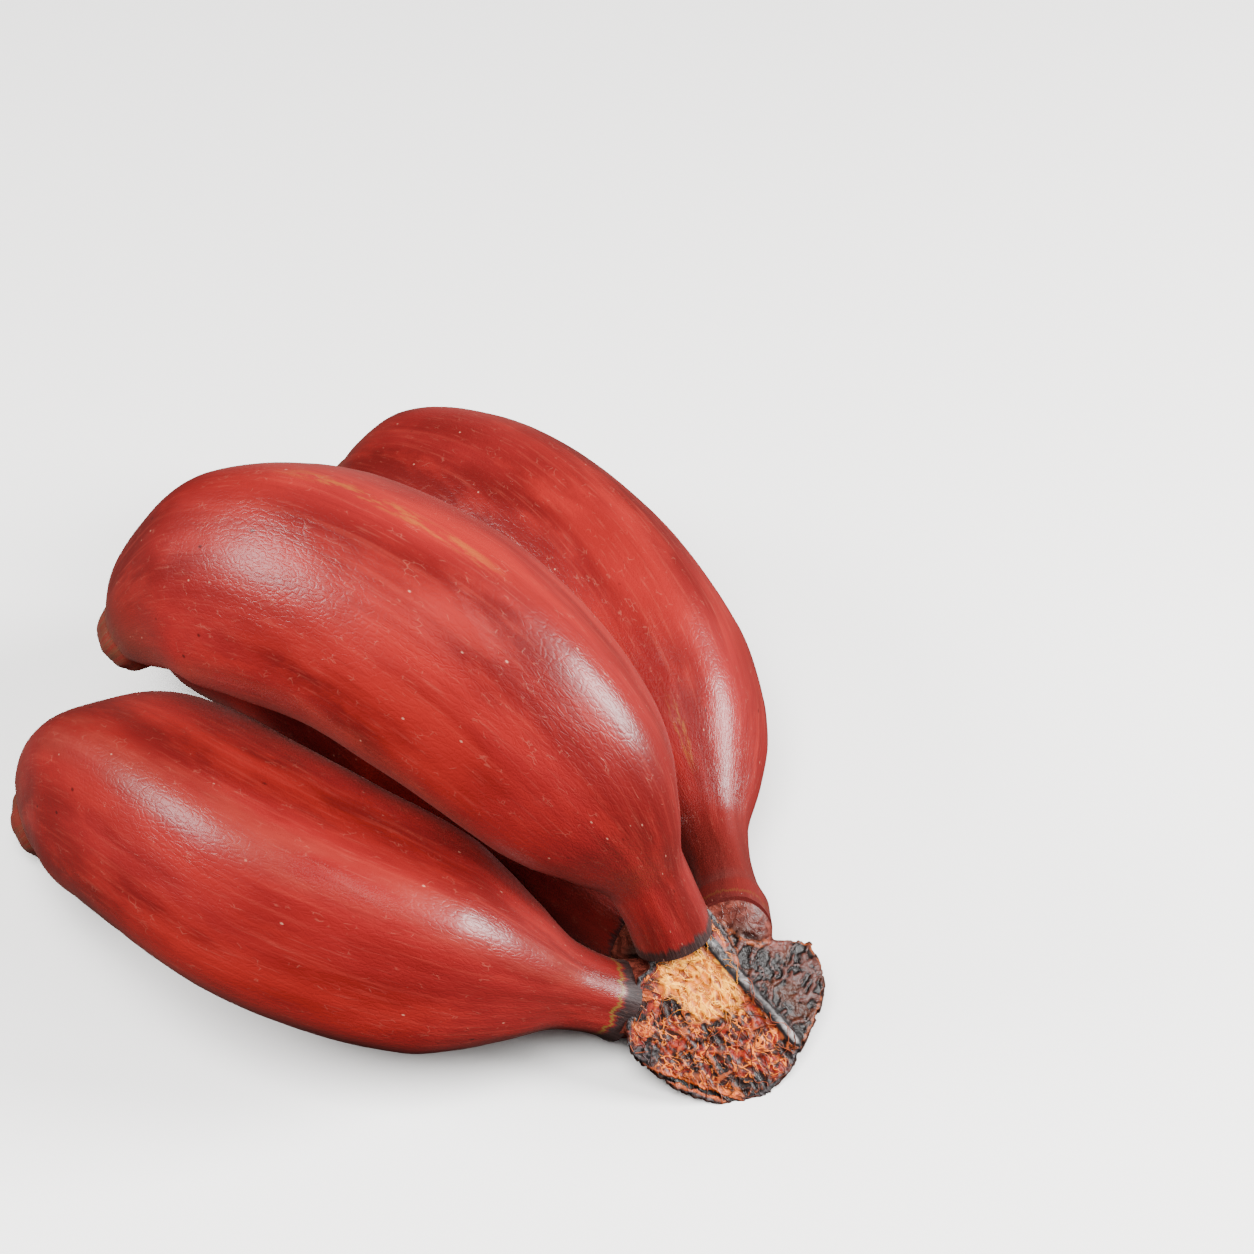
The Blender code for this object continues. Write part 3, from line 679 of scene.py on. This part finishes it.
def crownTree(material):
    # wrinkles the crown: stringy on the cut face, folded on the old break, with a raised rim between
    tree, given = newTree("crownWrinkles", (
        ("Cut Relief", "NodeSocketFloat", 0.0005), ("Bark Relief", "NodeSocketFloat", 0.0007),
        ("Rim Height", "NodeSocketFloat", 0.0006), ("Rim Width", "NodeSocketFloat", 0.0008),
        ("Seed", "NodeSocketFloat", 0.0)))
    here = addNode(tree, "GeometryNodeInputPosition")
    normal = addNode(tree, "GeometryNodeInputNormal")

    def onPlane(point, facing, passes):
        # 1 on the plane's own face, 0 from 1.2 mm off it and where the surface turns away, blurred
        way = Vector(facing).normalized()
        offset = addNode(tree, "ShaderNodeVectorMath", (here, point), operation="SUBTRACT")
        depth = addNode(tree, "ShaderNodeVectorMath", (offset, way), "Value", operation="DOT_PRODUCT")
        sameWay = addNode(tree, "ShaderNodeVectorMath", (normal, way), "Value", operation="DOT_PRODUCT")
        close = where(tree, 1.0, (reckon(tree, depth, ("ABSOLUTE",)), 0.0012, 0.0004), (sameWay, 0.80, 0.95))
        return addNode(tree, "GeometryNodeBlurAttribute", {"Value": close, "Iterations": passes})

    cut = onPlane(crown["knifePoint"], crown["knifeNormal"], 10)
    broken = onPlane(crown["breakPoint"], crown["breakNormal"], 8)
    # the rim follows the line where the two faces meet, and wavers beside it
    start = Vector(crown["rimTop"])
    line = Vector(crown["rimEnd"]) - start
    along = line.normalized()
    offset = addNode(tree, "ShaderNodeVectorMath", (here, start), operation="SUBTRACT")
    down = addNode(tree, "ShaderNodeVectorMath", (offset, along), "Value", operation="DOT_PRODUCT")
    onLine = addNode(tree, "ShaderNodeVectorMath", (along, down), operation="MULTIPLY")
    aside = addNode(tree, "ShaderNodeVectorMath", (offset, onLine), "Value", operation="DISTANCE")
    waver = addNode(tree, "ShaderNodeTexNoise", {"Vector": here, "Scale": 260.0, "Detail": 2.0})
    aside = reckon(tree, waver, ("SUBTRACT", 0.5), ("MULTIPLY_ADD", 0.0012, aside))
    rim = reckon(tree, aside, ("DIVIDE", given["Rim Width"]), ("POWER", 2.0), ("MULTIPLY", -1.0),
                 ("EXPONENT",))
    rim = where(tree, rim, (down, -0.0015, 0.001), (down, line.length + 0.0015, line.length - 0.001))

    seedShift = addNode(tree, "ShaderNodeCombineXYZ", (given["Seed"], 0.0, 0.0))
    seedPlace = addNode(tree, "ShaderNodeVectorMath", (here, seedShift), operation="ADD")
    winding = addNode(tree, "ShaderNodeTexNoise", {"Vector": seedPlace, "Scale": 180.0, "Detail": 3.0})
    run, across = faceCoordinates(tree, meander(tree, seedPlace, winding, 0.0060))
    laid = addNode(tree, "ShaderNodeCombineXYZ", (reckon(tree, run, ("MULTIPLY", 0.36)), across, 0.0))
    strings = addNode(tree, "ShaderNodeTexVoronoi", {"Vector": laid, "Scale": 640.0},
                      feature="DISTANCE_TO_EDGE")
    creased = addNode(tree, "ShaderNodeCombineXYZ", (run, reckon(tree, across, ("MULTIPLY", 0.50)), 0.0))
    folded = 0.0
    for scale, width in ((260.0, 0.075), (430.0, 0.055)):
        # a crease stands wherever a slow noise passes through its middle value
        folds = addNode(tree, "ShaderNodeTexNoise", {
            "Vector": creased, "Scale": scale, "Detail": 2.0, "Distortion": 0.6})
        offMiddle = reckon(tree, folds, ("SUBTRACT", 0.5), ("ABSOLUTE",))
        folded = reckon(tree, where(tree, 1.0, (offMiddle, width, 0.0)), ("MAXIMUM", folded))
    lumps = addNode(tree, "ShaderNodeTexNoise", {
        "Vector": seedPlace, "Scale": 240.0, "Detail": 3.0, "Roughness": 0.5})
    stringLift = reckon(tree, lumps, ("MULTIPLY_ADD", 0.7, where(tree, 0.6, (strings, 0.16, 0.02))))
    foldLift = reckon(tree, lumps, ("MULTIPLY_ADD", 0.5, reckon(tree, folded, ("MULTIPLY", 0.9))))
    lift, relief = [
        addNode(tree, "ShaderNodeMix", {0: cut, 2: onBark, 3: onCut}, data_type="FLOAT")
        for onBark, onCut in ((foldLift, stringLift), (given["Bark Relief"], given["Cut Relief"]))]
    # the stubs are smooth beside the necks
    neck = addNode(tree, "GeometryNodeInputNamedAttribute", {"Name": "neck"}, data_type="FLOAT")
    calm = where(tree, relief, (neck, 0.0014, 0.0060))
    outward = reckon(tree, lift, ("SUBTRACT", 0.75), ("MULTIPLY", calm))
    outward = reckon(tree, rim, ("MULTIPLY_ADD", given["Rim Height"], outward))
    point = addNode(tree, "ShaderNodeVectorMath", (normal, outward, here), operation="MULTIPLY_ADD")
    # every value is read before the surface moves, and stored after it
    kept = {"cut": cut, "broken": broken, "rim": rim, "lift": lift}
    captured = addNode(tree, "GeometryNodeCaptureAttribute", {"Geometry": given["Geometry"]},
                       domain="POINT").node
    for label, value in kept.items():
        captured.capture_items.new("FLOAT", label)
        tree.links.new(value, captured.inputs[label])
    shape = addNode(tree, "GeometryNodeSetPosition", {
        "Geometry": captured.outputs["Geometry"], "Position": withinSolids(tree, point)})
    for label in kept:
        shape = addNode(tree, "GeometryNodeStoreNamedAttribute",
                        {"Geometry": shape, "Name": label, "Value": captured.outputs[label]},
                        data_type="FLOAT", domain="POINT")
    endTree(tree, addNode(tree, "GeometryNodeSetShadeSmooth", {"Geometry": shape}), material)
    return tree


def makeCrown():
    # the solid's mesh, merged, cut into fine cells and softened, then wrinkled by the tree
    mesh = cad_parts["crown"].data.copy()
    bm = bmesh.new()
    bm.from_mesh(mesh)
    bmesh.ops.remove_doubles(bm, verts=bm.verts, dist=0.000001)
    bm.to_mesh(mesh)
    bm.free()
    mesh.materials.clear()
    worker = addObject("crownWorker", mesh)
    cells = worker.modifiers.new("cells", "REMESH")
    cells.mode = "VOXEL"
    cells.voxel_size = crown["voxel"]
    soften = worker.modifiers.new("soften", "SMOOTH")
    soften.factor = 0.5
    soften.iterations = crown["soften"]
    fineCrown = plainMesh(worker, "crownFine")
    # how far each point is from the nearest neck's foot
    feet = []
    for fruit in fruits.values():
        point, along = frameAt(fruit, spineFrames(fruit), fruit["foot"])[:2]
        feet.append((point, along, girthAt(fruit, fruit["foot"])))
    away = []
    for vertex in fineCrown.data.vertices:
        nearest = 1.0
        for point, along, radius in feet:
            offset = vertex.co - point
            behind = -offset.dot(along)
            outside = (offset + behind * along).length - radius
            nearest = min(nearest, math.hypot(max(behind, 0.0), max(outside, 0.0)))
        away.append(nearest)
    fineCrown.data.attributes.new("neck", "FLOAT", "POINT").data.foreach_set("value", away)
    runTree(fineCrown, crownTree(driedStalk()), {
        "Cut Relief": crown["cutRelief"], "Bark Relief": crown["barkRelief"],
        "Rim Height": crown["rimHeight"], "Rim Width": crown["rimWidth"], "Seed": crown["seed"]})
    piece = plainMesh(fineCrown, "crownStalk")
    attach(piece, "root")
    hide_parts("crown")
    return piece


strands = {
    "perSquareMetre": 230000.0, "length": 0.0058, "curl": 0.9, "seed": 7,
    "thickness": 0.00007,       # from a strand's middle to its skin
    "driedTones": ("#2E0F08", "#843714"), "freshTones": ("#8A3E08", "#F6A02C"),
}


def fibre():
    # single dried fibres of the stalk: straw yellow where the cut is fresh, burnt brown elsewhere
    material, tree, shader = newMaterial("stalkFibreStrand")
    tone = addNode(tree, "ShaderNodeAttribute", (), "Fac", attribute_name="tone")
    run, across = faceCoordinates(tree, addNode(tree, "ShaderNodeTexCoord", (), "Object"))
    shares = ovalShares(tree, run, across, crown["flesh"])
    away = addNode(tree, "ShaderNodeVectorMath", (shares, shares), "Value", operation="DOT_PRODUCT")
    freshDark, freshPale = strands["freshTones"]
    driedDark, driedPale = strands["driedTones"]
    fresh = tinted(tree, freshDark, (freshPale, tone))
    colour = tinted(tree, driedDark, (driedPale, 1.0, (tone, 0.30, 1.0)), (fresh, 1.0, (away, 1.7, 0.7)))
    tree.links.new(colour, shader.inputs["Base Color"])
    shader.inputs["Roughness"].default_value = 0.42
    return material


def strandTree(material):
    # curled strands lie on the cut face, each turned at random
    tree, given = newTree("strandScatter", (
        ("Density", "NodeSocketFloat", 500000.0), ("Length", "NodeSocketFloat", 0.006),
        ("Thickness", "NodeSocketFloat", 0.0001), ("Curl", "NodeSocketFloat", 1.0),
        ("Seed", "NodeSocketInt", 0)))
    cut = addNode(tree, "GeometryNodeInputNamedAttribute", {"Name": "cut"}, data_type="FLOAT")
    points = addNode(tree, "GeometryNodeDistributePointsOnFaces", {
        "Mesh": given["Geometry"], "Density": where(tree, given["Density"], (cut, 0.80, 0.98)),
        "Seed": given["Seed"]}, "Points", distribute_method="RANDOM")
    angle, size, tone = [
        addNode(tree, "FunctionNodeRandomValue", {"Min": least, "Max": most, "Seed": seed}, 1,
                data_type="FLOAT")
        for least, most, seed in ((0.0, 2.0 * math.pi, given["Seed"]), (0.45, 1.0, 5), (0.0, 1.0, 9))]
    spin = addNode(tree, "FunctionNodeAxisAngleToRotation", {"Axis": (0.0, 0.0, 1.0), "Angle": angle})
    line = addNode(tree, "GeometryNodeCurvePrimitiveLine",
                   {"Start": (-0.5, 0.0, 0.0), "End": (0.5, 0.0, 0.0)})
    spread = addNode(tree, "GeometryNodeInstanceOnPoints", {
        "Points": points,
        "Instance": addNode(tree, "GeometryNodeResampleCurve", {"Curve": line, "Count": 11}),
        "Rotation": addNode(tree, "FunctionNodeRotateRotation", (points.node.outputs["Rotation"], spin),
                            rotation_space="LOCAL"),
        "Scale": reckon(tree, size, ("MULTIPLY", given["Length"]))})
    toned = addNode(tree, "GeometryNodeStoreNamedAttribute",
                    {"Geometry": spread, "Name": "tone", "Value": tone}, data_type="FLOAT", domain="INSTANCE")
    loose = addNode(tree, "GeometryNodeRealizeInstances", {"Geometry": toned})
    # the strands wander sideways, and are then laid back on the face they came from
    here = addNode(tree, "GeometryNodeInputPosition")
    sway = addNode(tree, "ShaderNodeTexNoise", {"Vector": here, "Scale": 330.0, "Detail": 1.0}, "Color")
    sway = addNode(tree, "ShaderNodeVectorMath", (sway, (0.5, 0.5, 0.5)), operation="SUBTRACT")
    sway = addNode(tree, "ShaderNodeVectorMath", (sway, reckon(tree, given["Curl"], ("MULTIPLY", 0.0060))),
                   operation="MULTIPLY")
    bent = addNode(tree, "GeometryNodeSetPosition", {"Geometry": loose, "Offset": sway})
    nearest = addNode(tree, "GeometryNodeProximity", {"Target": given["Geometry"]}, "Position",
                      target_element="FACES")
    knife = Vector(crown["knifeNormal"]).normalized()
    lying = addNode(tree, "ShaderNodeVectorMath", (knife, given["Thickness"], nearest),
                    operation="MULTIPLY_ADD")
    laid = addNode(tree, "GeometryNodeSetPosition", {"Geometry": bent, "Position": lying})
    ring = addNode(tree, "GeometryNodeCurvePrimitiveCircle", {"Resolution": 4, "Radius": given["Thickness"]})
    tube = addNode(tree, "GeometryNodeCurveToMesh", {"Curve": laid, "Profile Curve": ring, "Fill Caps": True})
    boxed = withinSolids(tree, addNode(tree, "GeometryNodeInputPosition"))
    endTree(tree, addNode(tree, "GeometryNodeSetPosition", {"Geometry": tube, "Position": boxed}), material)
    return tree


def makeStrands(stalk):
    worker = addObject("strandWorker", stalk.data.copy())
    runTree(worker, strandTree(fibre()), {
        "Density": strands["perSquareMetre"], "Length": strands["length"], "Thickness": strands["thickness"],
        "Curl": strands["curl"], "Seed": strands["seed"]})
    piece = plainMesh(worker, "cutFaceStrands")
    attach(piece, "root")
    return piece


def facesOutward(mesh):
    # a closed mesh with a negative volume is inside out
    bm = bmesh.new()
    bm.from_mesh(mesh)
    if bm.calc_volume(signed=True) < 0.0:
        bmesh.ops.reverse_faces(bm, faces=bm.faces)
        bm.to_mesh(mesh)
    bm.free()


for name, fruit in fruits.items():
    worker = spineObject(name, fruit)
    runTree(worker, fruitTree(name, fruit, ripeSkin("ripeRedPeel_" + name, fruit)), {
        "Sides": growth["sides"], "Ridge Height": growth["ridgeHeight"],
        "Ridge Sharpness": growth["ridgeSharpness"], "Dent Depth": growth["dentDepth"],
        "Dents per Metre": growth["dentsPerMetre"], "Rim Scallop": growth["rimScallop"],
        "Seed": fruit["seed"]})
    banana = plainMesh(worker, name)
    facesOutward(banana.data)
    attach(banana, "root")
    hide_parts(fruit["node"])
    print("grown:", name, len(banana.data.polygons), "faces")

stalk = makeCrown()
print("crown wrinkled:", len(stalk.data.polygons), "faces")
fibres = makeStrands(stalk)
print("strands laid:", len(fibres.data.polygons), "faces")


studio = {
    "target": (0.0377, 0.0470, 0.0), "distance": 0.622, "elevation": 40.0, "fieldOfView": 22.0,
    "table": "#F6F4F2", "tableHalfSize": 6.0, "airGlow": 0.22,
    "lightsAim": (0.0, 0.0, 0.04),
    # azimuth from +Y towards +X, elevation, distance, width and height, watts, and whether the wax
    # mirrors it
    "softboxes": {
        "rightSoftbox": (95.0, 26.0, 0.9, (0.42, 0.32), 27.0, True),
        "leftSoftbox": (-95.0, 32.0, 1.0, (0.40, 0.30), 11.0, True),
        "sideSoftbox": (128.0, 34.0, 1.0, (0.26, 0.26), 3.0, True),
        "overheadSoftbox": (-170.0, 60.0, 1.1, (0.6, 0.6), 32.0, False),
    },
}


def makeTable():
    bm = bmesh.new()
    bmesh.ops.create_grid(bm, x_segments=1, y_segments=1, size=studio["tableHalfSize"])
    mesh = bpy.data.meshes.new("table")
    bm.to_mesh(mesh)
    bm.free()
    table = addObject("table", mesh)
    # painted board: matt, plain and pale
    material, _, shader = newMaterial("paleTableBoard")
    shader.inputs["Base Color"].default_value = toLinear(studio["table"])
    shader.inputs["Roughness"].default_value = 0.6
    mesh.materials.append(material)
    # the skin neither mirrors the table nor is lit by it, so its red stays deep and its undersides dark
    table.visible_glossy = False
    table.visible_diffuse = False


def makeSoftbox(name, azimuth, elevation, distance, size, power, mirrored):
    # an area light that looks at the hand
    light = bpy.data.lights.new(name, "AREA")
    light.shape = "RECTANGLE"
    light.size, light.size_y = size
    light.energy = power
    a = math.radians(azimuth)
    e = math.radians(elevation)
    away = Vector((math.cos(e) * math.sin(a), math.cos(e) * math.cos(a), math.sin(e)))
    box = addObject(name, light)
    box.location = Vector(studio["lightsAim"]) + away * distance
    box.rotation_euler = (-away).to_track_quat("-Z", "Y").to_euler()
    box.visible_glossy = mirrored


def makeAir():
    # even white light from all round, which the wax doesn't mirror
    world = bpy.data.worlds.new("studioAir")
    bpy.context.scene.world = world
    world.use_nodes = True
    background = world.node_tree.nodes["Background"]
    background.inputs["Color"].default_value = toLinear("#FFFFFF")
    background.inputs["Strength"].default_value = studio["airGlow"]
    world.cycles_visibility.glossy = False


def makeCamera():
    lens = bpy.data.cameras.new("camera")
    lens.sensor_fit = "HORIZONTAL"
    lens.angle = math.radians(studio["fieldOfView"])
    lens.clip_end = 20.0
    e = math.radians(studio["elevation"])
    look = Vector((0.0, math.cos(e), -math.sin(e)))
    camera = addObject("camera", lens)
    camera.location = Vector(studio["target"]) - look * studio["distance"]
    camera.rotation_euler = look.to_track_quat("-Z", "Y").to_euler()
    bpy.context.scene.camera = camera


makeTable()
makeAir()
for name, values in studio["softboxes"].items():
    makeSoftbox(name, *values)
makeCamera()
print("studio set")
